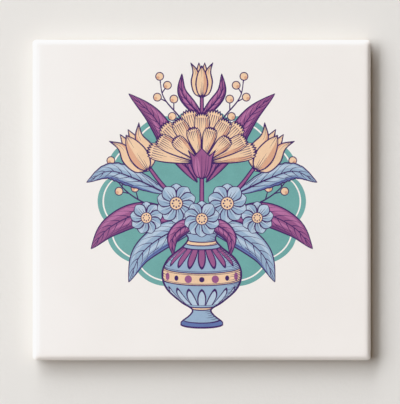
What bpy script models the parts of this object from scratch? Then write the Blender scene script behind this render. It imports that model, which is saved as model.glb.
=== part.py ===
"""Glazed ceramic wall tile, modelled upright against the wall that carries it.

The back lies in the plane y = 0 and the glazed face looks along -Y, with +Z up. The origin is the
middle of the back, where the tile is fixed. All lengths are in metres.
"""

import math

import bmesh
import bpy
from mathutils import Matrix, Vector

# Outline of the tile
WIDTH = 0.1524
HEIGHT = 0.1445
THICKNESS = 0.0064
CORNER_RADIUS = 0.0016

# Shoulder between the face and the sides. The face rolls over into a straight bevel, whose outer
# corner is lightly rounded. The higher the roll power, the later the roll leaves the face's plane.
ROLL_WIDTH = 0.0028
ROLL_POWER = 4.0
BEVEL_WIDTH = 0.0008
BEVEL_ANGLE = math.radians(31.5)
ARRIS_RADIUS = 0.00015

# Sides, which draw in towards the back, and the broken edge where they meet it
SIDE_DRAFT = 0.0004
BACK_CHAMFER = 0.0005

# Keyed back: shallow pockets between ribs, a plain border and a plain land in the middle
BORDER = 0.0050
POCKET_PITCH = 0.0142
RIB_WIDTH = 0.0022
POCKET_DEPTH = 0.0009
POCKET_DRAFT = 0.0006
LAND_CELLS = 2

# Fineness of the rounded parts, and the bend past which an edge is drawn sharp
CORNER_STEPS = 6
ROLL_STEPS = 6
ARRIS_STEPS = 3
SHARP_ANGLE = math.radians(30)

GLAZE_COLOUR = (0.880, 0.847, 0.823, 1.0)
GLAZE_ROUGHNESS = 0.12


def clear_scene():
    """Remove whatever the opened file holds."""
    for old in list(bpy.data.objects):
        bpy.data.objects.remove(old, do_unlink=True)


def glaze_material():
    """Glossy white glaze, as a Principled BSDF."""
    material = bpy.data.materials.new("white_glaze")
    material.use_nodes = True
    shader = material.node_tree.nodes["Principled BSDF"]
    shader.inputs["Base Color"].default_value = GLAZE_COLOUR
    shader.inputs["Roughness"].default_value = GLAZE_ROUGHNESS
    shader.inputs["Metallic"].default_value = 0.0
    material.diffuse_color = GLAZE_COLOUR
    return material


def outline_ring(bm, inset, depth):
    """Closed ring of edges: the plan of the tile drawn in by inset, at a depth behind the face."""
    half_x = WIDTH / 2 - inset - CORNER_RADIUS
    half_z = HEIGHT / 2 - inset - CORNER_RADIUS
    corners = ((half_x, half_z), (-half_x, half_z), (-half_x, -half_z), (half_x, -half_z))
    verts = []
    for turn, (centre_x, centre_z) in enumerate(corners):
        for step in range(CORNER_STEPS + 1):
            angle = math.pi / 2 * (turn + step / CORNER_STEPS)
            x = centre_x + CORNER_RADIUS * math.cos(angle)
            z = centre_z + CORNER_RADIUS * math.sin(angle)
            verts.append(bm.verts.new(Vector((x, depth - THICKNESS, z))))
    return [bm.edges.new((a, b)) for a, b in zip(verts, verts[1:] + verts[:1])]


def shoulder():
    """Edge of the tile from its flat face to the top of its sides, as pairs of inset and depth."""
    slope = math.tan(BEVEL_ANGLE)
    corner = ARRIS_RADIUS * (1 - math.sin(BEVEL_ANGLE))
    rolled = slope * ROLL_WIDTH / ROLL_POWER
    points = []
    for step in range(ROLL_STEPS + 1):
        share = math.sqrt(step / ROLL_STEPS)
        inset = corner + BEVEL_WIDTH + ROLL_WIDTH * (1 - share)
        points.append((inset, rolled * share ** ROLL_POWER))
    for step in range(ARRIS_STEPS + 1):
        angle = BEVEL_ANGLE + (math.pi / 2 - BEVEL_ANGLE) * step / ARRIS_STEPS
        drop = ARRIS_RADIUS * (math.cos(BEVEL_ANGLE) - math.cos(angle))
        points.append((ARRIS_RADIUS * (1 - math.sin(angle)), rolled + slope * BEVEL_WIDTH + drop))
    return points


def edge_profile():
    """Edge of the tile from its face to its back, as pairs of inset and depth."""
    points = shoulder()
    points.append((SIDE_DRAFT, THICKNESS - BACK_CHAMFER))
    points.append((SIDE_DRAFT + BACK_CHAMFER, THICKNESS))
    return points


def keyed_panel():
    """Width and height of the keyed part of the back, and its even numbers of columns and rows."""
    width, height = WIDTH - 2 * BORDER, HEIGHT - 2 * BORDER
    columns, rows = (2 * max(1, round(length / POCKET_PITCH / 2)) for length in (width, height))
    return width, height, columns, rows


def back_cells(bm):
    """Flat grid of cells that fills the keyed part of the back."""
    width, height, columns, rows = keyed_panel()
    to_back = Matrix.Rotation(-math.pi / 2, 4, "X") @ Matrix.Diagonal((width, height, 1.0, 1.0))
    before = len(bm.faces)
    bmesh.ops.create_grid(bm, x_segments=columns, y_segments=rows, size=0.5, matrix=to_back)
    return list(bm.faces)[before:]


def on_land(cell):
    """Whether a cell is one of the LAND_CELLS by LAND_CELLS that stay plain in the middle."""
    width, height, columns, rows = keyed_panel()
    centre = cell.calc_center_median()
    return max(abs(centre.x) / width * columns, abs(centre.z) / height * rows) < LAND_CELLS / 2


def sink_pockets(bm, cells):
    """Leave half a rib round each cell and press in the rest of it, with sloping walls."""
    pockets = [cell for cell in cells if not on_land(cell)]
    bmesh.ops.inset_individual(bm, faces=pockets, thickness=RIB_WIDTH / 2)
    bmesh.ops.inset_individual(bm, faces=pockets, thickness=POCKET_DRAFT)
    for vert in dict.fromkeys(vert for pocket in pockets for vert in pocket.verts):
        vert.co.y -= POCKET_DEPTH


def tile_mesh():
    """Face, shoulder, sides and keyed back as one closed skin."""
    bm = bmesh.new()
    rings = [outline_ring(bm, inset, depth) for inset, depth in edge_profile()]
    bmesh.ops.contextual_create(bm, geom=rings[0])
    for nearer, further in zip(rings, rings[1:]):
        bmesh.ops.bridge_loops(bm, edges=nearer + further)
    cells = back_cells(bm)
    rim = [edge for edge in dict.fromkeys(e for cell in cells for e in cell.edges) if edge.is_boundary]
    bmesh.ops.triangle_fill(bm, use_beauty=True, edges=rings[-1] + rim)
    sink_pockets(bm, cells)
    bmesh.ops.recalc_face_normals(bm, faces=bm.faces)
    mesh = bpy.data.meshes.new("tile")
    bm.to_mesh(mesh)
    bm.free()
    mesh.shade_smooth()
    mesh.set_sharp_from_angle(angle=SHARP_ANGLE)
    return mesh


def build():
    """Make the tile."""
    clear_scene()
    mesh = tile_mesh()
    mesh.materials.append(glaze_material())
    tile = bpy.data.objects.new("tile", mesh)
    bpy.context.scene.collection.objects.link(tile)


build()
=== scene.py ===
"""Looks of a glazed ceramic wall tile with a printed vase of flowers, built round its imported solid.

The tile stands against a wall: its back lies in the plane y = 0, its face looks along -Y and +Z is up.
The solid gives the outline, and the tile's sizes come from its box. The tile and its print are worked
out in millimetres, across and up from the middle of the tile, and turned into metres in the mesh.
"""

from __future__ import annotations

import logging
import math
from dataclasses import dataclass, field
from enum import Enum
from typing import Protocol

import bmesh
import bpy
import numpy as np
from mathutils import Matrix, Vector
from mathutils.geometry import delaunay_2d_cdt

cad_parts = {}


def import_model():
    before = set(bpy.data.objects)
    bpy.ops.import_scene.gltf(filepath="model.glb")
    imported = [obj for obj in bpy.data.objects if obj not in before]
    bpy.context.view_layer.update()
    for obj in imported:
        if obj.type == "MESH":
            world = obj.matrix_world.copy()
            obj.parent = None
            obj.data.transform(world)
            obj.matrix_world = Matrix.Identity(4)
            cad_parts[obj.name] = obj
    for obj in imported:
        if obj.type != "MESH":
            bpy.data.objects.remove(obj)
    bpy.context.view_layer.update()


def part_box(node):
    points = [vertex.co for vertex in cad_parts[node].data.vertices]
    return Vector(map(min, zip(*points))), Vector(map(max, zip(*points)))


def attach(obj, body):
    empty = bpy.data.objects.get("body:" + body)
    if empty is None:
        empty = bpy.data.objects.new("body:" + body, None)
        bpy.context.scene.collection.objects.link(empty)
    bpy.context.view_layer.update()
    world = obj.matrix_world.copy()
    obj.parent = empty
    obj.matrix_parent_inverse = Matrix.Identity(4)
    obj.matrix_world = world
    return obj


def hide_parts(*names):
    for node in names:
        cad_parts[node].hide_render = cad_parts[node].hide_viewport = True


LOG = logging.getLogger("tile")
BAKE_MAP = "OFBake"
MM = 0.001

# The photograph's frame, and the tile in it, in pixels
PHOTO_SIZE = (400, 404)
PHOTO_TILE_WIDTH = 338.0
PHOTO_TILE_CENTRE = (201.8, 200.1)

# Widths of the print's outlines and of its shading lines, in millimetres
LINE = 0.62
HATCH = 0.42

# Numbers of a mix node's factor and two colours, and of its mixed colour, which share their names
MIX_INPUTS = (0, 6, 7)
MIX_OUTPUT = 2

Array = np.ndarray
Spot = tuple[float, float]
Rgb = tuple[int, int, int]
Rgba = tuple[float, float, float, float]
Socket = bpy.types.NodeSocket
Material = bpy.types.Material


class Ink(Enum):
    """Colours of the print, as sRGB values from 0 to 255. The first is the bare glaze."""

    WHITE = (245, 239, 235)
    TEAL = (111, 167, 164)
    BLUE = (151, 175, 200)
    BLUE_LIGHT = (181, 199, 217)
    BLUE_DARK = (98, 118, 170)
    PEACH = (237, 201, 167)
    PEACH_DARK = (219, 167, 138)
    PLUM = (153, 90, 138)
    PLUM_LIGHT = (180, 113, 159)
    PLUM_DARK = (120, 67, 118)
    VIOLET = (66, 40, 98)


def smooth(points: list[Spot], steps: int = 8) -> Array:
    """Carry a curve through points, each span a cubic with slopes of half its neighbours' chord.

    Args:
        points: Points that the curve passes through, in order.
        steps: Number of pieces that each span is cut into.

    Returns:
        The curve's points, one row each.
    """
    knots = np.asarray(points, float)
    knots = np.vstack([2 * knots[:1] - knots[1:2], knots, 2 * knots[-1:] - knots[-2:-1]])
    spans = np.stack([knots[i : len(knots) - 3 + i] for i in range(4)], axis=1)
    t = np.linspace(0, 1, steps, endpoint=False)[:, None]
    powers = np.hstack([np.ones_like(t), t, t**2, t**3])
    basis = 0.5 * np.array([[0, 2, 0, 0], [-1, 0, 1, 0], [2, -5, 4, -1], [-1, 3, -3, 1]])
    curve = np.einsum("tp,pk,skc->stc", powers, basis, spans).reshape(-1, 2)
    return np.vstack([curve, knots[-2]])


def normals(path: Array) -> Array:
    """Work out the unit vectors square to a path, to its left, from the differences of its points.

    Args:
        path: Points of the path, one row each.

    Returns:
        The vectors, one row for each point.
    """
    run = np.gradient(path, axis=0)
    run /= np.maximum(np.linalg.norm(run, axis=1, keepdims=True), 1e-9)
    return np.stack([-run[:, 1], run[:, 0]], axis=1)


def ribbon(path: Array, width: Array) -> Array:
    """Outline of a stroke: its path moved to both sides along its normals by half its width."""
    side = normals(path) * width[:, None] / 2
    return np.vstack([path + side, (path - side)[::-1]])


def circle(centre: Spot | Array, radius: float, count: int = 28, squash: float = 1.0) -> Array:
    """Outline of a circle, or of an ellipse squash times as high as it is wide."""
    angle = np.linspace(0, 2 * np.pi, count, endpoint=False)
    return np.stack([centre[0] + radius * np.cos(angle), centre[1] + radius * squash * np.sin(angle)], 1)


@dataclass(frozen=True)
class Patch:
    """A closed outline filled with one ink."""

    ink: Ink
    outline: Array

    def placed(self, at: Spot, turn: float = 0.0) -> Patch:
        """Turn the patch about (0, 0) and move it.

        Args:
            at: Where the point (0, 0) goes.
            turn: Degrees that it turns anticlockwise.

        Returns:
            The moved copy.
        """
        angle = math.radians(turn)
        turned = np.array([[math.cos(angle), math.sin(angle)], [-math.sin(angle), math.cos(angle)]])
        return Patch(self.ink, self.outline @ turned + np.asarray(at))

    def mirrored(self) -> Patch:
        """Copy of the patch on the other side of the middle line."""
        return Patch(self.ink, (self.outline * (-1, 1))[::-1])


class Motif(Protocol):
    """Anything that can be printed."""

    def patches(self) -> list[Patch]:
        """Its patches, from the first printed to the last."""


def line(path: Array, start: float, stop: float, power: float = 1.0, ink: Ink = Ink.VIOLET) -> Patch:
    """Stroke whose width runs from start to stop, as a power of the share of its length."""
    share = np.linspace(0, 1, len(path))
    return Patch(ink, ribbon(path, start + (stop - start) * share**power))


def contour(path: Array, ends: float, middle: float) -> Patch:
    """Stroke that is thickest in its middle, as the 0.6th power of half a sine wave."""
    share = np.linspace(0, 1, len(path))
    return Patch(Ink.VIOLET, ribbon(path, ends + (middle - ends) * np.sin(np.pi * share) ** 0.6))


@dataclass(frozen=True)
class Blade:
    """A leaf or petal: two edges that run side by side from its root to its tip."""

    left: Array
    right: Array

    @classmethod
    def along(cls, spine: Array, half_width: Array) -> Blade:
        """Blade whose edges lie half_width to both sides of a spine."""
        side = normals(spine) * half_width[:, None]
        return cls(spine + side, spine - side)

    def at(self, across: float | Array, up: Array) -> Array:
        """Find points of the blade, each a blend of its two edges.

        Args:
            across: Shares of the way from the left edge to the right one, or one share for all.
            up: Shares of the way from the root to the tip.

        Returns:
            The points, one row each.
        """
        share = np.linspace(0, 1, len(self.left))
        across = np.broadcast_to(np.asarray(across, float), np.shape(up))[:, None]
        left = np.stack([np.interp(up, share, self.left[:, i]) for i in (0, 1)], 1)
        right = np.stack([np.interp(up, share, self.right[:, i]) for i in (0, 1)], 1)
        return (1 - across) * left + across * right

    def filled(self, ink: Ink, tip: Array = np.empty((0, 2))) -> Patch:
        """The whole blade in one ink, closed over the points of its tip where they are given."""
        return Patch(ink, np.vstack([self.left, tip, self.right[::-1]]))

    def part(self, ink: Ink, across: Spot, up: Spot) -> Patch:
        """Fill a band of the blade, whose width grows and closes as a power of half a sine wave.

        Args:
            ink: Ink of the band.
            across: The two shares across between which it lies.
            up: The two shares of the length at which it ends.

        Returns:
            The band.
        """
        steps = 24
        places = np.linspace(*up, steps)
        middle, half = (across[0] + across[1]) / 2, (across[1] - across[0]) / 2
        spread = half * np.sin(np.pi * np.linspace(0, 1, steps)) ** 0.7
        left, right = self.at(middle - spread, places), self.at(middle + spread, places)
        return Patch(ink, np.vstack([left, right[::-1]]))

    def edges(self, width: float) -> list[Patch]:
        """Lines along both edges, thinner at the root and the tip."""
        return [contour(edge, width * 0.45, width) for edge in (self.left, self.right)]

    def grain(self, rows: list[tuple[float, float, float]], width: float = HATCH) -> list[Patch]:
        """Tapered lines that follow the blade, each given by a share across, a start and a stop."""
        paths = [self.at(across, np.linspace(start, stop, 9)) for across, start, stop in rows]
        return [line(path, width, width * 0.18, 0.8) for path in paths]

    def strokes(
        self,
        across: Spot,
        count: int,
        up: Spot,
        sway: float,
        beat: float,
        shift: float = 0.0,
        width: float = HATCH,
    ) -> list[Patch]:
        """Draw tapered lines side by side, whose far ends sway as a sine wave across the blade.

        Args:
            across: Shares across of the first and the last line.
            count: Number of lines.
            up: Shares of the length at which they start and, on average, stop.
            sway: How far the far ends sway, as a share of the length.
            beat: Radians of the wave over the whole width.
            shift: Radians by which the wave starts late.
            width: Width of a line where it starts.

        Returns:
            One patch for each line.
        """
        places = np.linspace(*across, count)
        rows = [(place, up[0], up[1] + sway * math.sin(shift + beat * place)) for place in places]
        return self.grain(rows, width)

    def veins(self, count: int) -> list[Patch]:
        """Draw side veins that leave the middle line in turn and climb towards both edges.

        Args:
            count: Number of pairs of veins.

        Returns:
            One patch for each vein.
        """
        reach, climb = 0.42, 0.2
        bow = np.linspace(0, 1, 8)
        made = []
        for root in np.linspace(0.1, 0.84, count):
            for side, lag in ((-1, 0.0), (1, 0.03)):
                up = root + lag + climb * (1 - root * 0.5) * bow**1.3
                made.append(line(self.at(0.5 + side * reach * bow, np.minimum(up, 1.0)), HATCH, HATCH * 0.2))
        return made


class Tint(Enum):
    """Inks of a leaf: its ground, its light and its shade."""

    PLUM = (Ink.PLUM, Ink.PLUM_LIGHT, Ink.PLUM_DARK)
    BLUE = (Ink.BLUE, Ink.BLUE_LIGHT, Ink.BLUE_DARK)


@dataclass(frozen=True)
class Leaf:
    """A leaf with a middle rib, side veins and a lit edge.

    Its veins are counted in pairs. The lower its fullness, the nearer to the root it is widest. Its
    edges may be cut into teeth.
    """

    spine: list[Spot]
    width: float
    veins: int
    fullness: float = 0.8
    teeth: int = 0
    tint: Tint = Tint.PLUM
    tooth_depth: float = 0.13

    def patches(self) -> list[Patch]:
        """Draw the fill, the lights and the lines of the leaf.

        Half the width is a power of half a sine wave, whose share of the length is itself raised to
        the fullness.

        Returns:
            Its patches, from the first printed to the last.
        """
        spine = smooth(self.spine, 14)
        share = np.linspace(0, 1, len(spine))
        half = self.width / 2 * np.sin(np.pi * share**self.fullness) ** 0.85
        if self.teeth:
            rest = 1 - (share * self.teeth % 1.0)
            half = half * (1 + self.tooth_depth * rest * np.sin(np.pi * share))
        blade = Blade.along(spine, half)
        ground, light, dark = self.tint.value
        return [
            blade.filled(ground),
            blade.part(light, (0.08, 0.3), (0.12, 0.8)),
            blade.part(light, (0.6, 0.74), (0.2, 0.7)),
            blade.part(dark, (0.84, 1.0), (0.05, 0.95)),
            *blade.veins(self.veins),
            *blade.grain([(0.9, 0.3, 0.75), (0.12, 0.1, 0.3), (0.8, 0.5, 0.8)], HATCH * 0.8),
            line(spine, 0.85, 0.2),
            *blade.edges(LINE),
        ]


@dataclass(frozen=True)
class Tulip:
    """A tulip seen from the side, its root at (0, 0) and its tips upwards."""

    height: float
    width: float

    def petal(self, left: list[Spot], right: list[Spot], lines: int) -> list[Patch]:
        """Draw one petal between two edges given in halves of the width and in heights.

        Args:
            left: Points of the left edge, from its root to its tip.
            right: Points of the right edge.
            lines: Number of shading lines that rise from the root.

        Returns:
            Its patches, from the first printed to the last.
        """
        scale = np.array([self.width / 2, self.height])
        blade = Blade(smooth(left) * scale, smooth(right) * scale)
        return [
            blade.filled(Ink.PEACH),
            blade.part(Ink.PEACH_DARK, (0.66, 0.98), (0.05, 0.9)),
            *blade.strokes((0.12, 0.9), lines, (0.05, 0.34), sway=0.2, beat=9, shift=3),
            *blade.strokes((0.2, 0.8), lines // 2, (0.97, 0.72), sway=0.1, beat=11, width=HATCH * 0.8),
            *blade.edges(LINE),
        ]

    def patches(self) -> list[Patch]:
        """Draw two petals behind, two at the sides and one in front.

        Returns:
            Their patches, from the first printed to the last.
        """
        behind = self.petal(
            [(-0.3, 0.3), (-0.5, 0.7), (-0.28, 1.0)], [(0.1, 0.3), (0.02, 0.7), (-0.28, 1.0)], 4
        )
        side = self.petal(
            [(0.0, 0.0), (-0.72, 0.14), (-1.0, 0.45), (-0.84, 0.74), (-1.06, 1.0)],
            [(0.0, 0.0), (-0.1, 0.2), (-0.2, 0.5), (-0.42, 0.78), (-1.06, 1.0)],
            6,
        )
        front = self.petal(
            [(0.0, 0.0), (-0.4, 0.16), (-0.55, 0.42), (-0.36, 0.7), (0.0, 0.92)],
            [(0.0, 0.0), (0.4, 0.16), (0.55, 0.42), (0.36, 0.7), (0.0, 0.92)],
            7,
        )
        both = [patch.mirrored() for patch in behind], behind, [patch.mirrored() for patch in side], side
        return [patch for group in both for patch in group] + front


@dataclass(frozen=True)
class Carnation:
    """A fan of toothed petals over a calyx, its root at (0, 0).

    The spread is the angle between its outermost petals and its middle, in degrees.
    """

    radius: float
    spread: float
    heart: float = 2.2

    def petal(self, length: float, half_angle: float, turn: float) -> list[Patch]:
        """Draw one petal, which widens from the heart to a toothed crown.

        Half the width grows as the 0.8th power of the share of the length, and draws in near the
        crown. The crown bows out as a parabola, with a small tooth at every second point and a larger
        one at every fourth.

        Args:
            length: How far the petal reaches.
            half_angle: Angle at the root between its middle and its edge, in degrees.
            turn: Degrees that it leans to the left.

        Returns:
            Its patches, from the first printed to the last.
        """
        share = np.linspace(0, 1, 26)
        half = length * math.tan(math.radians(half_angle)) * share**0.8 * (1.16 - 0.3 * share**6)
        spine = np.stack([np.zeros_like(share), self.heart + (length - self.heart) * share], 1)
        blade = Blade.along(spine, half)
        across = np.linspace(0, 1, 25)
        point = np.arange(len(across))
        teeth = 0.075 * (point % 4 == 2) + 0.045 * (point % 2)
        crown = blade.at(across, np.ones_like(across))
        crown[:, 1] += length * (0.075 * (1 - (2 * across - 1) ** 2) + teeth - 0.03)
        made = [
            blade.filled(Ink.PEACH, crown),
            blade.part(Ink.PEACH_DARK, (0.68, 1.0), (0.1, 1.0)),
            *blade.strokes((0.1, 0.9), 6, (0.12, 0.45), sway=0.16, beat=7, shift=turn),
            *blade.strokes((0.1, 0.9), 7, (1.02, 0.74), sway=0.08, beat=13),
            *blade.edges(LINE),
            contour(crown, LINE * 0.5, LINE),
        ]
        return [patch.placed((0, 0), turn) for patch in made]

    def row(self, count: int, length: float, half_angle: float, spread: float) -> list[Patch]:
        """Draw a fan of petals, laid from its two ends to its middle.

        Args:
            count: Number of petals.
            length: Their length, as a share of the radius.
            half_angle: Angle at the root between a petal's middle and its edge, in degrees.
            spread: How far the outermost ones lean, as a share of the flower's spread.

        Returns:
            Their patches, from the first printed to the last.
        """
        turns = np.linspace(-1, 1, count) * self.spread * spread
        order = sorted(range(count), key=lambda place: min(place, count - 1 - place))
        petals = [self.petal(self.radius * length, half_angle, turns[place]) for place in order]
        return [patch for petal in petals for patch in petal]

    def calyx(self) -> list[Patch]:
        """Draw the plum cup under the petals, with three pointed lobes.

        Returns:
            Its patches, from the first printed to the last.
        """
        right = smooth([(0, -6.5), (2.6, -5.2), (4.2, -1.5), (4.8, 3.0), (6.2, 6.4)])
        cup = Blade(right * (-1, 1), right)
        lobes = np.array([(-6.2, 6.4), (-3.4, 3.8), (0, 7.4), (3.4, 3.8), (6.2, 6.4)])
        return [
            cup.filled(Ink.PLUM, lobes),
            cup.part(Ink.PLUM_LIGHT, (0.12, 0.4), (0.1, 0.8)),
            *cup.grain([(across, 0.06, 0.86) for across in (0.26, 0.5, 0.7, 0.82)], HATCH * 1.1),
            *cup.edges(LINE),
            line(lobes, LINE * 0.9, LINE * 0.9),
        ]

    def patches(self) -> list[Patch]:
        """Draw a back row of long petals, two rows of shorter ones in front and the calyx.

        Returns:
            Their patches, from the first printed to the last.
        """
        return [
            *self.row(6, length=1.0, half_angle=10.5, spread=1.0),
            *self.row(5, length=0.92, half_angle=10.0, spread=0.8),
            *self.row(4, length=0.68, half_angle=12.0, spread=0.62),
            *self.calyx(),
        ]


@dataclass(frozen=True)
class Daisy:
    """A small round flower seen from the front, centred on (0, 0)."""

    radius: float
    petals: int
    dots: int = 8

    def patches(self) -> list[Patch]:
        """Draw petals in a ring round a dotted button.

        Half a petal's width is a power of half a sine wave, widest past the middle of its length.

        Returns:
            Its patches, from the first printed to the last.
        """
        share = np.linspace(0, 1, 18)
        half = self.radius * 0.36 * np.sin(np.pi * share**1.5) ** 0.7
        blade = Blade.along(np.stack([np.zeros_like(share), self.radius * share], 1), half)
        petal = [
            blade.filled(Ink.BLUE_LIGHT),
            blade.part(Ink.BLUE, (0.6, 0.96), (0.2, 0.95)),
            *blade.grain([(0.5, 0.3, 0.8), (0.3, 0.3, 0.6), (0.7, 0.3, 0.62)], HATCH * 0.9),
            *blade.edges(LINE * 0.9),
        ]
        turns = np.arange(self.petals) * 360 / self.petals
        made = [patch.placed((0, 0), turn) for turn in turns for patch in petal]
        button = self.radius * 0.3
        made += [Patch(Ink.VIOLET, circle((0, 0), button * 1.16)), Patch(Ink.PEACH, circle((0, 0), button))]
        dots = circle((0, 0), button * 0.62, self.dots)
        return made + [Patch(Ink.VIOLET, circle(dot, button * 0.15, 10)) for dot in dots]


@dataclass(frozen=True)
class Sprig:
    """A stem with berries on short stalks.

    The start is the share of the stem at which the first berry stands. Stalks go to the right and the
    left in turn, the other way round where their length is above 0, and the last berry has none.
    """

    path: list[Spot]
    berries: int = 5
    start: float = 0.42
    stalk: float = -2.9
    radius: float = 1.7

    def patches(self) -> list[Patch]:
        """Draw the stem, then each stalk with its berry.

        Returns:
            Their patches, from the first printed to the last.
        """
        stem = smooth(self.path, 12)
        side = normals(stem)
        made = [line(stem, 0.9, 0.4)]
        places = np.linspace(self.start, 1.0, self.berries) * (len(stem) - 1)
        for number, place in enumerate(places.astype(int)):
            reach = 0.0 if number == self.berries - 1 else self.stalk * (-1) ** number
            end = stem[place] + side[place] * reach + (0, 0.8)
            shaded = end + np.array([0.45, -0.35]) * self.radius
            made += [
                line(np.linspace(stem[max(place - 3, 0)], end, 6), 0.6, 0.4),
                Patch(Ink.VIOLET, circle(end, self.radius + 0.3, 20)),
                Patch(Ink.PEACH, circle(end, self.radius - 0.15, 20)),
                Patch(Ink.PEACH_DARK, circle(shaded, self.radius * 0.42, 12)),
            ]
        return made


@dataclass(frozen=True)
class Stem:
    """A plum stem with dark edges, thinner towards its flower."""

    path: list[Spot]
    width: float

    def patches(self) -> list[Patch]:
        """Draw the dark edges, then the stem between them.

        Returns:
            Its patches, from the first printed to the last.
        """
        path = smooth(self.path, 12)
        edges = line(path, self.width + 0.9, self.width + 0.5)
        return [edges, line(path, self.width, self.width * 0.6, ink=Ink.PLUM)]


@dataclass(frozen=True)
class Vase:
    """A footed vase on the middle line, blue with wrapped bands.

    Its profile gives half its width at shares of the way from its foot to its rim. The leaves are
    those in each row round its body, half a turn of which is seen.
    """

    foot: float = -56.0
    rim: float = -13.0
    profile: tuple[Spot, ...] = (
        (9.4, 0.0),
        (9.0, 0.03),
        (5.2, 0.1),
        (4.4, 0.16),
        (9.6, 0.24),
        (16.0, 0.38),
        (17.8, 0.54),
        (15.0, 0.69),
        (8.8, 0.81),
        (6.2, 0.89),
        (7.4, 0.95),
        (10.8, 1.0),
    )
    sag: float = 0.17
    leaves: int = 9
    level_steps: int = 40

    def blade(self) -> Blade:
        """Work out the vase's two side edges, from its foot to its rim.

        Returns:
            The blade that lies between them.
        """
        height = self.rim - self.foot
        right = smooth([(half, self.foot + share * height) for half, share in self.profile])
        return Blade(right * (-1, 1), right)

    def wrap(self, turn: float | Array, up: float | Array) -> Array:
        """Find points on the round body, whose level lines are arcs that sag in the middle.

        Each point is half the width times the sine of its turn away from the middle, and sags by a
        share of half the width times the cosine of its turn.

        Args:
            turn: Turns from the front, in degrees.
            up: Shares of the height.

        Returns:
            The points, one row each.
        """
        turn, up = np.broadcast_arrays(np.asarray(turn, float), np.asarray(up, float))
        edge = self.blade().right
        level = self.foot + up * (self.rim - self.foot)
        half = np.interp(level, edge[:, 1], edge[:, 0])
        angle = np.radians(turn)
        return np.stack([half * np.sin(angle), level - self.sag * half * np.cos(angle)], 1)

    def level(self, up: float) -> Array:
        """Level line across the front, at a share of the height."""
        return self.wrap(np.linspace(-90, 90, self.level_steps), up)

    def band(self, ink: Ink, low: float, high: float) -> Patch:
        """A level band round the body between two shares of the height."""
        return Patch(ink, np.vstack([self.level(low), self.level(high)[::-1]]))

    def turns(self) -> Array:
        """Turns of the leaves' middles from the front, in degrees."""
        return (np.arange(self.leaves) + 0.5) / self.leaves * 180 - 90

    def lappets(self, ink: Ink, base: float, tip: float, fill: float) -> list[Patch]:
        """Draw a row of pointed leaves round the body, whose width closes as a power of a cosine.

        Args:
            ink: Ink of the leaves.
            base: Share of the height at which they start.
            tip: Share of the height at which they end.
            fill: Share of the way round that they take up at their base.

        Returns:
            One patch for each leaf.
        """
        share = np.linspace(0, 1, 16)
        lean = fill * 90 / self.leaves * np.cos(share * np.pi / 2) ** 0.6
        up = base + (tip - base) * share
        edges = [(self.wrap(turn - lean, up), self.wrap(turn + lean, up)) for turn in self.turns()]
        return [Patch(ink, np.vstack([left, right[::-1]])) for left, right in edges]

    def beads(self) -> list[Patch]:
        """Draw a row of round beads in two sizes, narrowed by the cosine of their turn.

        Returns:
            One patch for each bead.
        """
        made = []
        for number, turn in enumerate(self.turns()):
            ink, radius = (Ink.PLUM, 1.75) if number % 2 else (Ink.VIOLET, 1.2)
            squeeze = max(math.cos(math.radians(turn)), 0.25)
            made.append(Patch(ink, circle((0, 0), radius, 20) * (squeeze, 1) + self.wrap([turn], [0.538])[0]))
        return made

    def hatch(self, up: Spot, count: int, start: float, stop: float) -> list[Patch]:
        """Draw level shading lines that taper from the side of the body towards its front.

        Args:
            up: Shares of the height of the first and the last line.
            count: Number of lines.
            start: Turn at which they start, in degrees from the front.
            stop: Turn about which they stop, each a little sooner or later as a sine wave.

        Returns:
            One patch for each line.
        """
        stops = stop + 9 * np.sin(np.arange(count) * 2.3)
        rows = zip(np.linspace(*up, count), stops)
        return [line(self.wrap(np.linspace(start, reach, 16), level), HATCH, 0.1) for level, reach in rows]

    def mouth(self) -> list[Patch]:
        """Draw the rim as a flattened ring with a dark opening.

        Returns:
            Its patches, from the first printed to the last.
        """
        half = self.profile[-1][0]
        centre = (0.0, self.rim)
        return [
            Patch(Ink.VIOLET, circle(centre, half + 0.35, 40, self.sag + 0.06)),
            Patch(Ink.BLUE_LIGHT, circle(centre, half - 0.3, 40, self.sag + 0.02)),
            Patch(Ink.VIOLET, circle((0.0, self.rim + 0.1), half - 1.3, 40, self.sag - 0.02)),
        ]

    def patches(self) -> list[Patch]:
        """Draw the body, its bands and rows of leaves, its shading and its outline.

        Returns:
            Its patches, from the first printed to the last.
        """
        body, base = self.blade(), self.level(0.0)
        rims = [(up, 0.8) for up in (0.045, 0.165, 0.2, 0.475, 0.6, 0.85, 0.885)]
        fine = [(up, 0.4) for up in (0.49, 0.585, 0.615)]
        return [
            Patch(Ink.BLUE, np.vstack([body.left[::-1], base, body.right])),
            self.band(Ink.BLUE_DARK, 0.0, 0.045),
            self.band(Ink.PEACH, 0.165, 0.2),
            *self.lappets(Ink.VIOLET, base=0.23, tip=0.44, fill=1.0),
            *self.lappets(Ink.BLUE_LIGHT, base=0.235, tip=0.41, fill=0.74),
            self.band(Ink.PEACH, 0.475, 0.6),
            *self.lappets(Ink.VIOLET, base=0.82, tip=0.635, fill=1.0),
            *self.lappets(Ink.PLUM, base=0.81, tip=0.66, fill=0.7),
            self.band(Ink.PEACH, 0.85, 0.885),
            *self.beads(),
            *(contour(self.level(up), LINE * share * 0.6, LINE * share) for up, share in rims + fine),
            *self.hatch((0.24, 0.8), 34, start=88, stop=50),
            *self.hatch((0.05, 0.2), 9, start=88, stop=30),
            *self.hatch((0.86, 0.98), 7, start=88, stop=30),
            *self.hatch((0.3, 0.72), 16, start=-88, stop=-66),
            *body.edges(LINE * 1.35),
            contour(base, LINE, LINE * 1.3),
            *self.mouth(),
        ]


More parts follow.
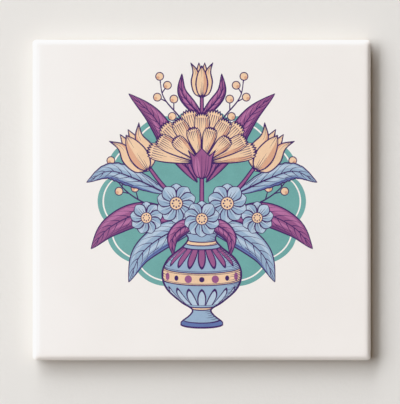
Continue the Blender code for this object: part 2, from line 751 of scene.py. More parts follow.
@dataclass(frozen=True)
class Medallion:
    """The flat lobed ground behind the bouquet.

    The depth is how far its radius draws in at the cusps between the lobes, as a share of it. A fine
    white line lies between the two insets.
    """

    half_width: float = 47.0
    half_height: float = 42.0
    centre: Spot = (0.0, -0.5)
    lobes: int = 12
    depth: float = 0.07
    line_insets: Spot = (2.2, 2.9)

    def outline(self, inset: float) -> Array:
        """Work out an ellipse whose radius swells between one cusp and the next, from the top round.

        The swelling is the 0.75th power of half a sine wave.

        Args:
            inset: Millimetres that it lies inside the edge.

        Returns:
            The outline's points, one row each.
        """
        angle = np.linspace(0, 2 * np.pi, 20 * self.lobes, endpoint=False) + np.pi / 2
        wave = np.abs(np.sin(self.lobes * (angle - np.pi / 2) / 2 + np.pi / 2)) ** 0.75
        radius = 1 - self.depth + self.depth * wave
        half = np.array([self.half_width, self.half_height]) - inset
        along = np.stack([np.cos(angle), np.sin(angle)], 1) * half
        return along * radius[:, None] + np.asarray(self.centre)

    def patches(self) -> list[Patch]:
        """Ground with a fine white line inside its edge."""
        rings = zip((Ink.TEAL, Ink.WHITE, Ink.TEAL), (0.0, *self.line_insets))
        return [Patch(ink, self.outline(inset)) for ink, inset in rings]


@dataclass
class Picture:
    """The whole design, as patches in the order in which they are printed."""

    patches: list[Patch] = field(default_factory=list)

    def lay(self, motif: Motif, at: Spot = (0, 0)) -> None:
        """Print a motif at a place, over what is there."""
        self.patches += [patch.placed(at) for patch in motif.patches()]

    def pair(self, motif: Motif, at: Spot = (0, 0), turn: float = 0.0) -> None:
        """Print a motif at a place, and again on the other side of the middle line."""
        here = [patch.placed(at, turn) for patch in motif.patches()]
        self.patches += [patch.mirrored() for patch in here] + here

    def draw(self) -> list[Patch]:
        """Lay out the medallion, the bouquet and the vase, from back to front.

        Returns:
            All patches, from the first printed to the last.
        """
        self.lay(Medallion())
        self.pair(Sprig([(6, -6), (24, -2), (36, 6), (41, 17)], start=0.536, stalk=2.9))
        self.pair(Sprig([(1, 22), (9, 36), (17, 46), (19, 55)]))
        self.pair(Leaf([(7, -9), (26, -6), (41, -12), (50, -22)], width=10.5, veins=9, fullness=0.85))
        self.pair(Leaf([(4, -13), (15, -15), (27, -24), (33, -37)], width=11.0, veins=8, tint=Tint.BLUE))
        toothed = Leaf([(16, 3), (31, 10), (42, 13), (52, 8)], width=8.0, veins=7, teeth=11, tint=Tint.BLUE)
        self.pair(toothed)
        self.pair(Leaf([(2, 8), (13, 24), (22, 38), (33, 48)], width=8.5, veins=9, fullness=0.85))
        self.lay(Stem([(0, -13), (0, 4), (0, 20)], width=1.5))
        self.lay(Stem([(0, 30), (0, 40), (0, 47)], width=1.3))
        self.pair(Stem([(3, -13), (8, -2), (17, 6), (24, 15)], width=1.4))
        self.pair(Leaf([(0, 38), (5, 43), (9, 49), (9, 57)], width=4.6, veins=5))
        self.lay(Tulip(height=16.0, width=9.5), at=(0, 46))
        self.pair(Tulip(height=21.0, width=15.0), at=(24, 13), turn=-32)
        self.pair(Daisy(radius=7.4, petals=9), at=(25, -8))
        self.lay(Carnation(radius=23.0, spread=74.0), at=(0, 16))
        self.pair(Daisy(radius=9.0, petals=10), at=(11.5, -1.5))
        self.lay(Vase())
        self.pair(Leaf([(3, -12), (8, -12), (13, -17), (13, -25)], width=6.5, veins=6, fullness=0.75))
        self.lay(Daisy(radius=8.2, petals=10), at=(0, -8.5))
        return self.patches


def inside(points: Array, outline: Array) -> Array:
    """Tell which points an outline winds round.

    A point's winding number is the count of edges that pass it upwards on its right, less those that
    pass downwards.

    Args:
        points: Points to test, one row each.
        outline: Points of a closed outline, in order.

    Returns:
        True for each point inside.
    """
    start, end = outline, np.roll(outline, -1, axis=0)
    x, y = points[:, :1], points[:, 1:]
    rise = end[:, 1] - start[:, 1]
    slope = (end[:, 0] - start[:, 0]) / np.where(rise == 0, 1, rise)
    beyond = start[:, 0] + (y - start[:, 1]) * slope > x
    above_start, above_end = start[:, 1] <= y, end[:, 1] <= y
    return ((above_start & ~above_end & beyond).sum(1) - (~above_start & above_end & beyond).sum(1)) != 0


def loops(outlines: list[Array]) -> tuple[Array, Array]:
    """Gather closed outlines for a cut.

    Args:
        outlines: Points of each outline, in order.

    Returns:
        All their points, and the edges that join each one's neighbours, as pairs of points.
    """
    starts = np.cumsum([0] + [len(outline) for outline in outlines[:-1]])
    rounds = [start + np.arange(len(outline)) for start, outline in zip(starts, outlines)]
    edges = [np.stack([turn, np.roll(turn, -1)], axis=1) for turn in rounds]
    return np.vstack(outlines), np.vstack(edges)


@dataclass(frozen=True)
class Cut:
    """A flat sheet cut into triangles along given lines."""

    points: Array
    triangles: Array

    @classmethod
    def along(cls, points: Array, edges: Array, gap: float) -> Cut:
        """Triangles between points, with every edge kept, and points nearer than gap made one."""
        made = delaunay_2d_cdt(points.tolist(), edges.tolist(), [], 0, gap, False)
        return cls(np.array([tuple(point) for point in made[0]]), np.array(made[2]))

    def middles(self) -> Array:
        """Middle of each triangle."""
        return self.points[self.triangles].mean(axis=1)

    def borders(self, group: Array) -> Array:
        """Find the edges between triangles of different groups.

        Args:
            group: Number of each triangle's group.

        Returns:
            The edges, as pairs of points.
        """
        pairs = np.sort(self.triangles[:, [0, 1, 1, 2, 2, 0]].reshape(-1, 2), axis=1)
        owner = np.repeat(np.arange(len(self.triangles)), 3)
        order = np.lexsort((pairs[:, 1], pairs[:, 0]))
        pairs, owner = pairs[order], owner[order]
        twin = np.flatnonzero((pairs[1:] == pairs[:-1]).all(axis=1))
        return pairs[twin[group[owner[twin]] != group[owner[twin + 1]]]]


@dataclass(frozen=True)
class InkedFace:
    """The flat of the face, cut along the edges of the print so that each triangle has one ink."""

    rim: Array
    patches: list[Patch]
    gap: float = 0.01

    def inks(self, cut: Cut) -> Array:
        """Find the ink on each triangle: that of the last patch printed over its middle.

        Args:
            cut: The face in triangles.

        Returns:
            Number of each triangle's ink.
        """
        middles = cut.middles()
        numbers = {ink: number for number, ink in enumerate(Ink)}
        found = np.full(len(middles), numbers[Ink.WHITE])
        bare = np.argsort(middles[:, 0])
        for patch in reversed(self.patches):
            low, high = patch.outline.min(axis=0), patch.outline.max(axis=0)
            first, last = np.searchsorted(middles[bare, 0], (low[0], high[0]))
            up = middles[bare[first:last], 1]
            near = first + np.flatnonzero((low[1] < up) & (up < high[1]))
            hit = near[inside(middles[bare[near]], patch.outline)]
            found[bare[hit]] = numbers[patch.ink]
            bare = np.delete(bare, hit)
        return found

    def cut(self) -> tuple[Cut, Array]:
        """Cut the flat into triangles.

        The first cut runs along every outline, also where a later patch hides it. The second keeps
        only the lines where one ink meets another, so it has far fewer triangles.

        Returns:
            The cut and the number of the ink on each of its triangles.
        """
        fine = Cut.along(*loops([self.rim] + [patch.outline for patch in self.patches]), self.gap)
        used, ends = np.unique(fine.borders(self.inks(fine)), return_inverse=True)
        rim, rim_edges = loops([self.rim])
        points = np.vstack([rim, fine.points[used]])
        edges = np.vstack([rim_edges, ends.reshape(-1, 2) + len(rim)])
        clean = Cut.along(points, edges, self.gap)
        return clean, self.inks(clean)


class MapPart(Enum):
    """Parts of the unit map: their low corners there, and the share of it that the tile's width fills."""

    FACE = ((0.01, 0.01), 0.80)
    SIDES = ((0.825, 0.01), 0.80)
    BACK = ((0.01, 0.79), 0.205)


@dataclass
class Skin:
    """Triangles gathered into one closed skin, each with its slot, its map and its shading."""

    points: list[Array] = field(default_factory=list)
    triangles: list[Array] = field(default_factory=list)
    slots: list[Array] = field(default_factory=list)
    maps: list[Array] = field(default_factory=list)
    rounded: list[Array] = field(default_factory=list)

    def add(self, points: Array, triangles: Array, slots: Array | int, maps: Array, rounded: bool) -> None:
        """Add a sheet of triangles.

        Args:
            points: Places of its points, in millimetres.
            triangles: Three points for each triangle, anticlockwise seen from outside.
            slots: Material slot of each triangle, or one for all.
            maps: Place of each triangle's corners on the unit map, shaped (triangles, 3, 2).
            rounded: Whether the sheet is shaded smooth.
        """
        offset = sum(len(block) for block in self.points)
        self.points.append(points)
        self.triangles.append(triangles + offset)
        self.slots.append(np.broadcast_to(slots, len(triangles)))
        self.maps.append(maps)
        self.rounded.append(np.full(len(triangles), rounded))

    def mesh(self, name: str, seam: float) -> bpy.types.Mesh:
        """Join the sheets into a mesh in metres.

        Args:
            name: Name of the mesh.
            seam: Millimetres within which points on the sheets' rims become one.

        Returns:
            The mesh, with its map for baked colours.
        """
        mesh = bpy.data.meshes.new(name)
        places, triangles = np.vstack(self.points) * MM, np.vstack(self.triangles)
        mesh.from_pydata(places.tolist(), [], triangles.tolist())
        mesh.polygons.foreach_set("material_index", np.concatenate(self.slots).astype(np.int32))
        mesh.polygons.foreach_set("use_smooth", np.concatenate(self.rounded))
        maps = np.vstack(self.maps).astype(np.float32)
        mesh.uv_layers.new(name=BAKE_MAP).data.foreach_set("uv", maps.ravel())
        skin = bmesh.new()
        skin.from_mesh(mesh)
        rims = [vert for vert in skin.verts if vert.is_boundary]
        bmesh.ops.remove_doubles(skin, verts=rims, dist=seam * MM)
        skin.to_mesh(mesh)
        skin.free()
        return mesh


Station = tuple[float | Array, float | Array]


@dataclass(frozen=True)
class Edge:
    """The tile's edge from the flat of its face to its back, at each point round the plan.

    Insets and depths are shaped (points, stations). The sides start at one station, and their bare
    clay at another.
    """

    insets: Array
    depths: Array
    side: int
    bare: int


@dataclass(frozen=True)
class TileBody:
    """The fired tile: inked face, soft shoulder, glazed and bare sides and keyed back, in millimetres.

    The plan is a rectangle with round corners. A point on it is a share of the half width and the half
    height, less the inset and the corner radius, plus the corner radius along its outward direction.
    """

    width: float
    height: float
    thickness: float
    corner_radius: float = 1.6

    # The face rolls over into a straight bevel, whose angle is in degrees, and a lightly rounded arris
    flat_margin: float = 0.8
    roll_width: float = 2.8
    roll_power: float = 4.0
    bevel_width: float = 0.8
    bevel_angle: float = 31.5
    arris_radius: float = 0.15

    # Depth of the glaze's lower edge, how far it wanders, and how far the glaze's wall is hollow
    glaze_edge: float = 2.7
    glaze_wander: float = 0.25
    glaze_thickness: float = 0.14
    glaze_hollow: float = 0.042
    side_draft: float = 0.4
    back_round: float = 0.5

    # Keyed back: pockets between ribs, inside a plain border and round a plain land
    border: float = 5.0
    pocket_pitch: float = 14.2
    rib_width: float = 2.2
    pocket_depth: float = 0.9
    pocket_draft: float = 0.6
    land_cells: int = 2

    corner_steps: int = 12
    side_steps: int = 56
    roll_steps: int = 14
    bevel_steps: int = 3
    arris_steps: int = 6
    wall_steps: int = 5
    round_steps: int = 4
    sharp_angle: float = 50.0
    seam: float = 0.002

    def half(self) -> Array:
        """Half the width and half the height."""
        return np.array([self.width, self.height]) / 2

    def ring(self) -> tuple[Array, Array]:
        """Go round the plan, from the middle of the right-hand side's top corner anticlockwise.

        Returns:
            Shares of the half sides, shaped (points, 2), and outward directions.
        """
        corners = np.array([(1, 1), (-1, 1), (-1, -1), (1, -1)], float)
        run = np.linspace(0, 1, self.side_steps + 1)[1:-1, None]
        shares, turns = [], []
        for quarter in range(4):
            here, following = corners[quarter], corners[(quarter + 1) % 4]
            arc = np.linspace(quarter, quarter + 1, self.corner_steps + 1)
            shares += [np.broadcast_to(here, (len(arc), 2)), here + (following - here) * run]
            turns += [arc, np.full(len(run), quarter + 1.0)]
        angle = np.concatenate(turns) * np.pi / 2
        return np.vstack(shares), np.stack([np.cos(angle), np.sin(angle)], axis=1)

    def plan(self, insets: Array) -> Array:
        """Points of the plan, shaped (points, stations, 2), at insets shaped (points, stations)."""
        shares, outward = (part[:, None] for part in self.ring())
        return shares * (self.half() - self.corner_radius - insets[..., None]) + outward * self.corner_radius

    def wander(self, count: int) -> Array:
        """Slow uneven wave round the plan, between about -1 and 1: three sines of unlike lengths."""
        turn = np.linspace(0, 2 * np.pi, count, endpoint=False)
        return 0.5 * np.sin(5 * turn + 1.0) + 0.3 * np.sin(13 * turn + 4.0) + 0.2 * np.sin(31 * turn + 2.0)

    def shoulder(self) -> list[Station]:
        """Work out the shoulder, from the rim of the flat face to the top of the sides.

        In the roll the depth grows as a power of the share of its width, until the slope is the
        bevel's. The bevel is straight, and an arc of the arris radius turns it down into the side.

        Returns:
            Its insets and depths.
        """
        tilt = math.radians(self.bevel_angle)
        slope, corner = math.tan(tilt), self.arris_radius * (1 - math.sin(tilt))
        rolled = slope * self.roll_width / self.roll_power
        flat = corner + self.bevel_width + self.roll_width
        steps = [(flat + self.flat_margin, 0.0)]
        for share in np.sqrt(np.linspace(0, 1, self.roll_steps + 1)):
            steps.append((flat - self.roll_width * share, rolled * share**self.roll_power))
        for share in np.linspace(0, 1, self.bevel_steps + 1)[1:]:
            down = rolled + slope * self.bevel_width * share
            steps.append((corner + self.bevel_width * (1 - share), down))
        foot = steps[-1][1]
        for turn in np.linspace(tilt, np.pi / 2, self.arris_steps + 1)[1:]:
            down = self.arris_radius * (math.cos(tilt) - math.cos(turn))
            steps.append((self.arris_radius * (1 - math.sin(turn)), foot + down))
        return steps

    def wall(self, top: Station, foot: Station, hollow: float = 0.0) -> list[Station]:
        """Work out a straight wall, which may be hollow by half a sine wave.

        Args:
            top: Inset and depth where it starts.
            foot: Inset and depth where it ends.
            hollow: How far it draws in halfway down.

        Returns:
            Its insets and depths, without those of its top.
        """
        steps = []
        for share in np.linspace(0, 1, self.wall_steps + 1)[1:]:
            inset = top[0] + (foot[0] - top[0]) * share + hollow * math.sin(math.pi * share)
            steps.append((inset, top[1] + (foot[1] - top[1]) * share))
        return steps

    def turned_under(self, inset: float, depth: float | Array, radius: float) -> list[Station]:
        """Quarter round in which a wall turns under at its foot, as insets and depths."""
        turns = np.linspace(0, np.pi / 2, self.round_steps + 1)[1:]
        return [(inset + radius * (1 - math.cos(turn)), depth + radius * math.sin(turn)) for turn in turns]

    def edge(self) -> Edge:
        """Work out the edge of the tile from its face to its back.

        Below the shoulder the glaze runs down to an uneven edge and rounds under. The bare wall then
        draws in to the rounded back edge.

        Returns:
            The edge, at each point round the plan.
        """
        count = len(self.ring()[0])
        glazed = self.glaze_edge + self.glaze_wander * self.wander(count)
        clay, low = self.glaze_thickness, self.thickness - self.back_round
        steps = self.shoulder()
        side = len(steps) - 1
        steps += self.wall((0.0, steps[-1][1]), (0.0, glazed), self.glaze_hollow)
        steps += self.turned_under(0.0, glazed, clay)
        bare = len(steps) - 1
        steps += self.wall((clay, glazed + clay), (self.side_draft, low))
        steps += self.turned_under(self.side_draft, low, self.back_round)
        rows = [[np.broadcast_to(value, count) for value in row] for row in zip(*steps)]
        return Edge(np.stack(rows[0], axis=1), np.stack(rows[1], axis=1), side, bare)

    def back_outline(self) -> Array:
        """Outline of the flat of the back."""
        return self.plan(self.edge().insets)[:, -1]

    def rib_lines(self, length: float) -> Array:
        """Places of the ribs' middles across the keyed panel, evenly spaced and odd in number."""
        panel = length - 2 * self.border
        return np.linspace(-panel / 2, panel / 2, 2 * max(1, round(panel / self.pocket_pitch / 2)) + 1)

    def sunk(self, places: Array, length: float) -> Array:
        """Work out how far a pocket is pressed in across the panel.

        It eases from 0 beside a rib to 1 past the draft, as 3 times the square less twice the cube.

        Args:
            places: Places across the panel.
            length: Length of the tile across the panel.

        Returns:
            A share of the pocket's depth for each place.
        """
        lines = self.rib_lines(length)
        away = np.abs(places[:, None] - lines).min(axis=1)
        share = np.clip((away - self.rib_width / 2) / self.pocket_draft, 0, 1)
        return np.where(np.abs(places) < lines[-1], share**2 * (3 - 2 * share), 0.0)

    def back_depth(self, flat: Array) -> Array:
        """Work out the depth of the pockets, with none on the plain land in the middle.

        Args:
            flat: Points on the back, one row each.

        Returns:
            A depth for each point.
        """
        both = self.sunk(flat[:, 0], self.width) * self.sunk(flat[:, 1], self.height)
        cell = [np.diff(self.rib_lines(length))[0] for length in (self.width, self.height)]
        land = (np.abs(flat) / cell).max(axis=1) < self.land_cells / 2
        return np.where(land, 0.0, both * self.pocket_depth)

    def mesh_lines(self, length: float) -> Array:
        """Choose where the back needs points: on ribs, pocket walls and the middles of floors.

        Args:
            length: Length of the tile across the panel.

        Returns:
            Places across the panel, in order.
        """
        lines = self.rib_lines(length)
        wall = self.rib_width / 2 + self.pocket_draft * np.linspace(0, 1, self.round_steps + 1)
        beside = lines[:, None] + np.concatenate([-wall, [0.0], wall])
        places = np.concatenate([beside.ravel(), (lines[1:] + lines[:-1]) / 2])
        return np.sort(places[np.abs(places) < lines[-1] + self.seam])

    def on_map(self, part: MapPart, flat: Array) -> Array:
        """Places on a part of the unit map, for points in millimetres from its low corner."""
        corner, share = part.value
        return flat * (share / self.width) + corner

    def add_face(self, skin: Skin, patches: list[Patch], rim: Array) -> None:
        """Add the flat inked part of the face, seen straight from the front on the map.

        Args:
            skin: Skin that the face joins.
            patches: The print, from its first patch to its last.
            rim: Outline of the flat part.
        """
        cut, inks = InkedFace(rim, patches).cut()
        points = np.insert(cut.points, 1, -self.thickness, axis=1)
        maps = self.on_map(MapPart.FACE, cut.points + self.half())[cut.triangles]
        skin.add(points, cut.triangles, inks, maps, False)
        LOG.info("face cut into %d triangles", len(inks))

    def add_edge(self, skin: Skin, edge: Edge, plan: Array, clay: int) -> None:
        """Add the shoulder, the sides and the back edge: the profile carried round the plan.

        On the map the shoulder belongs to the face. Each side is a strip of its own, from the middle of
        one corner to the middle of the next, and strips lie a thickness of the tile apart.

        Args:
            skin: Skin that the edge joins.
            edge: Stations of the profile at each point of the plan.
            plan: Their places across and up, shaped (points, stations, 2).
            clay: Slot of the bare clay.
        """
        rows, columns = edge.depths.shape
        row, column = np.meshgrid(np.arange(rows), np.arange(columns - 1), indexing="ij")
        row = (row.reshape(-1, 1, 1) + np.array([[0, 0, 1], [0, 1, 1]])).reshape(-1, 3)
        column = (column.reshape(-1, 1, 1) + np.array([[0, 1, 1], [0, 1, 0]])).reshape(-1, 3)
        triangles = row % rows * columns + column
        flat = plan.reshape(-1, 2)
        points = np.insert(flat, 1, (edge.depths - self.thickness).ravel(), axis=1)
        first = column.min(axis=1)

        quarter, half_corner = rows // 4, self.corner_steps // 2
        row = np.where(row.min(axis=1, keepdims=True) < half_corner, row + rows, row)
        strip = (row.min(axis=1) - half_corner) // quarter
        outer = plan[np.arange(2 * rows + 1) % rows, edge.side]
        along = np.concatenate([[0], np.cumsum(np.linalg.norm(np.diff(outer, axis=0), axis=1))])
        along = along[row] - along[strip * quarter + half_corner][:, None]
        down = edge.depths.mean(axis=0) - edge.depths[:, edge.side].mean()
        strips = np.stack([down[column] + strip[:, None] * self.thickness, along], axis=2)
        face = self.on_map(MapPart.FACE, flat + self.half())[triangles]
        maps = np.where((first < edge.side)[:, None, None], face, self.on_map(MapPart.SIDES, strips))
        skin.add(points, triangles, np.where(first < edge.bare, 0, clay), maps, True)

    def add_back(self, skin: Skin, rim: Array, clay: int) -> None:
        """Add the keyed back: a flat sheet pressed in by the depth of its pockets.

        Args:
            skin: Skin that the back joins.
            rim: Outline of the back.
            clay: Slot of the bare clay.
        """
        across, up = np.meshgrid(self.mesh_lines(self.width), self.mesh_lines(self.height))
        rim_points, rim_edges = loops([rim])
        points = np.vstack([rim_points, np.stack([across.ravel(), up.ravel()], axis=1)])
        cut = Cut.along(points, rim_edges, self.seam)
        places = np.insert(cut.points, 1, -self.back_depth(cut.points), axis=1)
        triangles = cut.triangles[:, ::-1]
        maps = self.on_map(MapPart.BACK, cut.points * (-1, 1) + self.half())[triangles]
        skin.add(places, triangles, clay, maps, True)

    def mesh(self, patches: list[Patch], clay: int) -> bpy.types.Mesh:
        """Build the whole tile as one closed skin.

        Args:
            patches: The print, from its first patch to its last.
            clay: Slot of the bare clay. The inks have the slots before it, and the glaze has slot 0.

        Returns:
            The mesh, in metres, with its map for baked colours.
        """
        edge = self.edge()
        plan = self.plan(edge.insets)
        skin = Skin()
        self.add_face(skin, patches, plan[:, 0])
        self.add_edge(skin, edge, plan, clay)
        self.add_back(skin, plan[:, -1], clay)
        mesh = skin.mesh("printed_tile", self.seam)
        mesh.set_sharp_from_angle(angle=math.radians(self.sharp_angle))
        return mesh


def linear(colour: Rgb) -> Rgba:
    """Work out the linear colour of an sRGB one.

    Each channel above the toe is ((c + 0.055) / 1.055) to the 2.4, and below it c / 12.92.

    Args:
        colour: Red, green and blue from 0 to 255.

    Returns:
        Red, green, blue and an alpha of 1, from 0 to 1.
    """
    shares = [channel / 255 for channel in colour]
    bent = [c / 12.92 if c <= 0.04045 else ((c + 0.055) / 1.055) ** 2.4 for c in shares]
    return (*bent, 1.0)


def shade(colour: Rgba, factor: float) -> Rgba:
    """A colour made factor times as bright, no channel past 1."""
    return (*(min(1.0, channel * factor) for channel in colour[:3]), 1.0)


@dataclass(frozen=True)
class Cloud:
    """Soft noise with blotches of a size in millimetres.

    It is drawn out so that noise of the low value becomes 0 and noise of the high value 1.
    """

    size: float
    detail: float = 3.0
    low: float = 0.35
    high: float = 0.65


@dataclass(frozen=True)
class Relief(Cloud):
    """A cloud that tilts the surface as if it had a depth, in millimetres."""

    low: float = 0.2
    high: float = 0.8
    depth: float = 0.02


class Bench:
    """Node tree of one material, with short ways to add nodes and join them."""

    def __init__(self, name: str) -> None:
        """Start a material with a Principled shader.

        Args:
            name: Name of the material.
        """
        self.material = bpy.data.materials.new(name)
        self.material.use_nodes = True
        self.tree = self.material.node_tree
        self.shader = self.tree.nodes["Principled BSDF"]
        self.place = self.add("ShaderNodeTexCoord").outputs["Object"]

    def feed(self, value: Socket | Rgba | float, target: Socket) -> None:
        """Link a socket to another one, or give it a plain value.

        Args:
            value: Socket that feeds the target, or the value that it holds.
            target: Socket that is fed.
        """
        if isinstance(value, Socket):
            self.tree.links.new(value, target)
        else:
            target.default_value = value

    def add(self, kind: str, **values: Socket | Rgba | float | str) -> bpy.types.Node:
        """Add a node.

        Args:
            kind: Blender's name of its type.
            **values: What each input of that name is fed, or else the node's own setting.

        Returns:
            The node.
        """
        node = self.tree.nodes.new(kind)
        for name, value in values.items():
            socket = node.inputs.get(name.replace("_", " "))
            if socket is None:
                setattr(node, name, value)
            else:
                self.feed(value, socket)
        return node

    def noise(self, cloud: Cloud) -> Socket:
        """Make a cloud.

        Args:
            cloud: What the cloud is like.

        Returns:
            Its value.
        """
        scale = 1 / (cloud.size * MM)
        noise = self.add("ShaderNodeTexNoise", Vector=self.place, Scale=scale, Detail=cloud.detail)
        drawn = {"From_Min": cloud.low, "From_Max": cloud.high}
        return self.add("ShaderNodeMapRange", Value=noise.outputs["Fac"], **drawn).outputs["Result"]

    def blend(self, cloud: Cloud, first: Socket | Rgba, second: Rgba) -> Socket:
        """Run from one colour to another over a cloud.

        Args:
            cloud: What the cloud is like.
            first: Colour where it is 0.
            second: Colour where it is 1.

        Returns:
            The blended colour.
        """
        mix = self.add("ShaderNodeMix", data_type="RGBA")
        for number, value in zip(MIX_INPUTS, (self.noise(cloud), first, second)):
            self.feed(value, mix.inputs[number])
        return mix.outputs[MIX_OUTPUT]

    def coat(self, colour: Socket, roughness: float, *reliefs: Relief) -> Material:
        """Finish the shader.

        Args:
            colour: Colour of the surface.
            roughness: Its roughness, the same everywhere.
            *reliefs: Reliefs of the surface, each over the one before.

        Returns:
            The material.
        """
        under = {}
        for relief in reliefs:
            height, depth = self.noise(relief), relief.depth * MM
            bump = self.add("ShaderNodeBump", Height=height, Strength=1.0, Distance=depth, **under)
            under = {"Normal": bump.outputs["Normal"]}
        self.feed(under["Normal"], self.shader.inputs["Normal"])
        self.feed(colour, self.shader.inputs["Base Color"])
        self.feed(roughness, self.shader.inputs["Roughness"])
        return self.material


def mix_shaders(tree: bpy.types.NodeTree, share: Socket, first: Socket, second: Socket) -> None:
    """End a node tree in a mix of two shaders.

    Args:
        tree: The tree, with its output node.
        share: Share of the second shader.
        first: Shader seen where the share is 0.
        second: Shader seen where it is 1.
    """
    mix = tree.nodes.new("ShaderNodeMixShader")
    for source, target in zip((share, first, second), mix.inputs):
        tree.links.new(source, target)
    output = tree.get_output_node("ALL")
    tree.links.new(mix.outputs["Shader"], output.inputs["Surface"])


@dataclass(frozen=True)
class GlazeFinish:
    """Glossy fired glaze, white or with an ink fused into it.

    Its colour drifts between a dim and a bright factor, and inks have fine light specks as well.
    """

    ink: Ink
    roughness: float = 0.13
    index: float = 1.52
    white_drift: Cloud = Cloud(size=38.0)
    white_factors: Spot = (0.985, 1.008)
    ink_drift: Cloud = Cloud(size=7.0)
    ink_factors: Spot = (0.955, 1.045)
    specks: Cloud = Cloud(size=0.5, detail=2.0, low=0.42, high=1.1)
    speck_factor: float = 1.22
    ripple: Relief = Relief(size=9.0, detail=1.0, depth=0.004)
    pooling: Relief = Relief(size=1.6, detail=1.0, depth=0.0016)

    def material(self) -> Material:
        """Build the glaze.

        Returns:
            The material.
        """
        bench = Bench(f"glaze_{self.ink.name.lower()}")
        bench.feed(self.index, bench.shader.inputs["IOR"])
        base = linear(self.ink.value)
        if self.ink is Ink.WHITE:
            colour = bench.blend(self.white_drift, *(shade(base, factor) for factor in self.white_factors))
        else:
            colour = bench.blend(self.ink_drift, *(shade(base, factor) for factor in self.ink_factors))
            colour = bench.blend(self.specks, colour, shade(base, self.speck_factor))
        return bench.coat(colour, self.roughness, self.ripple, self.pooling)


@dataclass(frozen=True)
class ClayFinish:
    """Bare fired clay on the lower sides and the back: chalky, with pale clouds and sparse dark flecks."""

    colour: Rgb = (201, 178, 151)
    stain: Rgb = (183, 158, 130)
    stains: Cloud = Cloud(size=16.0, detail=6.0)
    fleck: Rgb = (139, 112, 87)
    flecks: Cloud = Cloud(size=1.1, detail=2.0, low=0.66, high=0.74)
    roughness: float = 0.88
    grain: Relief = Relief(size=0.45, detail=4.0, depth=0.05)
    dents: Relief = Relief(size=5.0, depth=0.08)

    def material(self) -> Material:
        """Build the clay.

        Returns:
            The material.
        """
        bench = Bench("bare_clay")
        colour = bench.blend(self.stains, linear(self.colour), linear(self.stain))
        colour = bench.blend(self.flecks, colour, linear(self.fleck))
        return bench.coat(colour, self.roughness, self.grain, self.dents)


@dataclass(frozen=True)
class PaintFinish:
    """Matt paint of the wall and the floor, with a faint roller texture."""

    name: str
    colour: Rgb
    dim_factor: float = 0.99
    roughness: float = 0.75
    drift: Cloud = Cloud(size=120.0)
    roller: Relief = Relief(size=1.8, detail=2.0, low=0.35, high=0.65)

    def bench(self) -> Bench:
        """Build the paint.

        Returns:
            The bench that holds its material.
        """
        bench = Bench(self.name)
        base = linear(self.colour)
        colour = bench.blend(self.drift, shade(base, self.dim_factor), base)
        bench.coat(colour, self.roughness, self.roller)
        return bench

    def one_sided(self) -> Material:
        """Build the paint so that it is seen through from behind.

        Returns:
            The material.
        """
        bench = self.bench()
        behind = bench.add("ShaderNodeNewGeometry").outputs["Backfacing"]
        clear = bench.add("ShaderNodeBsdfTransparent").outputs["BSDF"]
        mix_shaders(bench.tree, behind, bench.shader.outputs["BSDF"], clear)
        return bench.material

    def glowing(self, strength: float) -> Material:
        """Build the paint with a faint light of its own colour.

        Args:
            strength: Strength of that light.

        Returns:
            The material.
        """
        bench = self.bench()
        bench.feed(linear(self.colour), bench.shader.inputs["Emission Color"])
        bench.feed(strength, bench.shader.inputs["Emission Strength"])
        return bench.material


def put(thing: bpy.types.ID, name: str) -> bpy.types.Object:
    """Put a mesh, light or camera in the scene.

    Args:
        thing: Its data.
        name: Name of its object.

    Returns:
        The object.
    """
    holder = bpy.data.objects.new(name, thing)
    bpy.context.scene.collection.objects.link(holder)
    return holder


@dataclass(frozen=True)
class Softbox:
    """An oblong soft light, aimed at the tile."""

    name: str
    place: tuple[float, float, float]
    size: Spot
    power: float
    colour: tuple[float, float, float] = (0.966, 1.0, 1.036)

    def hang(self, aim: Vector) -> None:
        """Put the light in the scene.

        Args:
            aim: Point that its face is turned to.
        """
        lamp = bpy.data.lights.new(self.name, "AREA")
        lamp.shape = "RECTANGLE"
        lamp.size, lamp.size_y = self.size
        lamp.energy = self.power
        lamp.color = self.colour
        holder = put(lamp, self.name)
        holder.location = self.place
        holder.rotation_euler = (aim - Vector(self.place)).to_track_quat("-Z", "Y").to_euler()
        holder.visible_camera = False


@dataclass(frozen=True)
class Film:
    """Plain colours with a soft shoulder, as film has, so that highlights keep their shape."""

    knee: float = 0.83
    brightest: float = 0.975
    white: float = 2.0
    points: int = 16

    def load(self) -> None:
        """Set the scene's view.

        Up to the knee the light stays as it is. Past it, what is left of the way to the brightest
        value falls off as an exponential, with no corner at the knee.
        """
        view = bpy.context.scene.view_settings
        view.view_transform = "Standard"
        view.use_curve_mapping = True
        room = self.brightest - self.knee
        light = np.linspace(self.knee, self.white, self.points)
        shown = self.brightest - room * np.exp((self.knee - light) / room)
        view.curve_mapping.white_level = (self.white,) * 3
        curve = view.curve_mapping.curves[3]
        curve.points[1].location = (1.0, shown[-1])
        for place in zip(light[:-1] / self.white, shown[:-1]):
            curve.points.new(*place)
        for point in curve.points:
            point.handle_type = "VECTOR"
        view.curve_mapping.update()


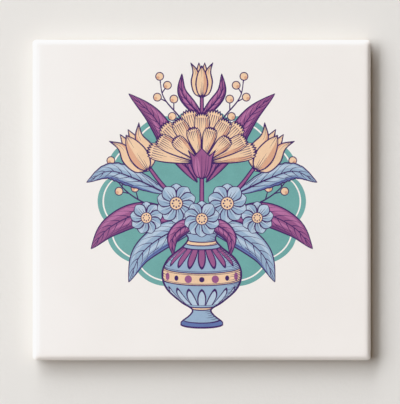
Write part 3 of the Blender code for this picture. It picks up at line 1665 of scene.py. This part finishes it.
@dataclass(frozen=True)
class Studio:
    """The wall that the tile hangs on, a pale floor, the lights and the camera, in metres.

    A window-like light stands on the left and one hangs overhead. The slim one beside the camera shows
    only in the inner part of the left shoulder's roll, and the one behind lights the tile's back.
    """

    wall_half: float = 1.1
    wall_colour: Rgb = (225, 222, 218)
    floor_half: float = 6.0
    floor_drop: float = 1.25
    floor_colour: Rgb = (226, 223, 219)
    floor_glow: float = 0.55
    sky_colour: Rgba = (1.0, 0.74, 0.48, 1.0)
    sky_strength: float = 0.125
    softboxes: tuple[Softbox, ...] = (
        Softbox("window", (-4.4, -3.39, 2.28), (3.77, 8.1), 570.0),
        Softbox("catch", (-1.17, -5.88, 0.0), (1.0, 1.2), 22.0),
        Softbox("overhead", (-1.28, -2.18, 5.45), (1.95, 3.75), 195.0),
        Softbox("rear", (0.9, 1.3, 0.9), (1.0, 1.0), 45.0),
    )
    lens: float = 200.0
    sensor: float = 36.0
    clip: Spot = (0.05, 50.0)

    def stand(self, name: str, points: Array, triangles: Array, paint: Material) -> bpy.types.Object:
        """Put a flat backdrop in the scene.

        Args:
            name: Name of the backdrop.
            points: Its points, one row each.
            triangles: Three points for each triangle.
            paint: Its material.

        Returns:
            The object.
        """
        mesh = bpy.data.meshes.new(name)
        mesh.from_pydata(points.tolist(), [], triangles.tolist())
        mesh.materials.append(paint)
        backdrop = put(mesh, name)
        return backdrop

    def wall(self, opening: Array) -> None:
        """Build the wall in the plane of the tile's back, left open behind it so that its back is lit.

        Args:
            opening: Outline of the tile's back.
        """
        frame = np.array([(1, 1), (-1, 1), (-1, -1), (1, -1)]) * self.wall_half
        cut = Cut.along(*loops([frame, opening]), 1e-6)
        kept = cut.triangles[~inside(cut.middles(), opening)]
        paint = PaintFinish("wall_paint", self.wall_colour).one_sided()
        self.stand("wall", np.insert(cut.points, 1, 0.0, axis=1), kept, paint)

    def floor(self) -> None:
        """Build the pale floor below the wall, which throws no light back up at the tile."""
        corners = np.array([(-1, -1), (1, -1), (1, 1), (-1, 1)]) * self.floor_half
        points = np.insert(corners, 2, -self.floor_drop, axis=1)
        paint = PaintFinish("floor_paint", self.floor_colour).glowing(self.floor_glow)
        floor = self.stand("floor", points, np.array([(0, 1, 2), (0, 2, 3)]), paint)
        floor.visible_diffuse = floor.visible_shadow = False

    def sky(self) -> None:
        """Build the even light from all round, behind a paler backdrop that only the camera sees."""
        world = bpy.data.worlds.new("studio")
        world.use_nodes = True
        tree = world.node_tree
        light = tree.nodes["Background"]
        light.inputs["Color"].default_value = self.sky_colour
        light.inputs["Strength"].default_value = self.sky_strength
        backdrop = tree.nodes.new("ShaderNodeBackground")
        backdrop.inputs["Color"].default_value = linear(self.floor_colour)
        seen = tree.nodes.new("ShaderNodeLightPath").outputs["Is Camera Ray"]
        mix_shaders(tree, seen, light.outputs["Background"], backdrop.outputs["Background"])
        bpy.context.scene.world = world

    def camera(self, aim: Vector, width: float) -> None:
        """Set up a camera that looks straight at the wall.

        The tile is as wide in its view and as far off the middle as in the photograph.

        Args:
            aim: Middle of the tile's face.
            width: Width of the tile.
        """
        pixel = width / PHOTO_TILE_WIDTH
        view = max(PHOTO_SIZE) * pixel
        camera = bpy.data.cameras.new("camera")
        camera.lens, camera.sensor_width = self.lens, self.sensor
        camera.clip_start, camera.clip_end = self.clip
        holder = put(camera, "camera")
        across = (PHOTO_SIZE[0] / 2 - PHOTO_TILE_CENTRE[0]) * pixel
        up = (PHOTO_TILE_CENTRE[1] - PHOTO_SIZE[1] / 2) * pixel
        holder.location = (aim.x + across, aim.y - view * self.lens / self.sensor, aim.z + up)
        holder.rotation_euler = (math.radians(90), 0.0, 0.0)
        bpy.context.scene.camera = holder

    def build(self, low: Vector, high: Vector, opening: Array) -> None:
        """Set up everything round the tile.

        Args:
            low: Lowest corner of the tile.
            high: Highest corner of the tile.
            opening: Outline of the tile's back.
        """
        face = Vector(((low.x + high.x) / 2, low.y, (low.z + high.z) / 2))
        self.wall(opening)
        self.floor()
        self.sky()
        for softbox in self.softboxes:
            softbox.hang(face)
        self.camera(face, high.x - low.x)
        Film().load()


def main() -> None:
    """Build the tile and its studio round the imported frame."""
    logging.basicConfig(level=logging.INFO, format="%(message)s")
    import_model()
    low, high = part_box("tile")
    size = (high - low) / MM
    body = TileBody(size.x, size.z, size.y)
    mesh = body.mesh(Picture().draw(), len(Ink))
    for finish in [*(GlazeFinish(ink) for ink in Ink), ClayFinish()]:
        mesh.materials.append(finish.material())
    tile = put(mesh, "printed_tile")
    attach(tile, "root")
    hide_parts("tile")
    LOG.info("printed_tile: %d triangles", len(mesh.polygons))
    Studio().build(low, high, body.back_outline() * MM)


if __name__ == "__main__":
    main()
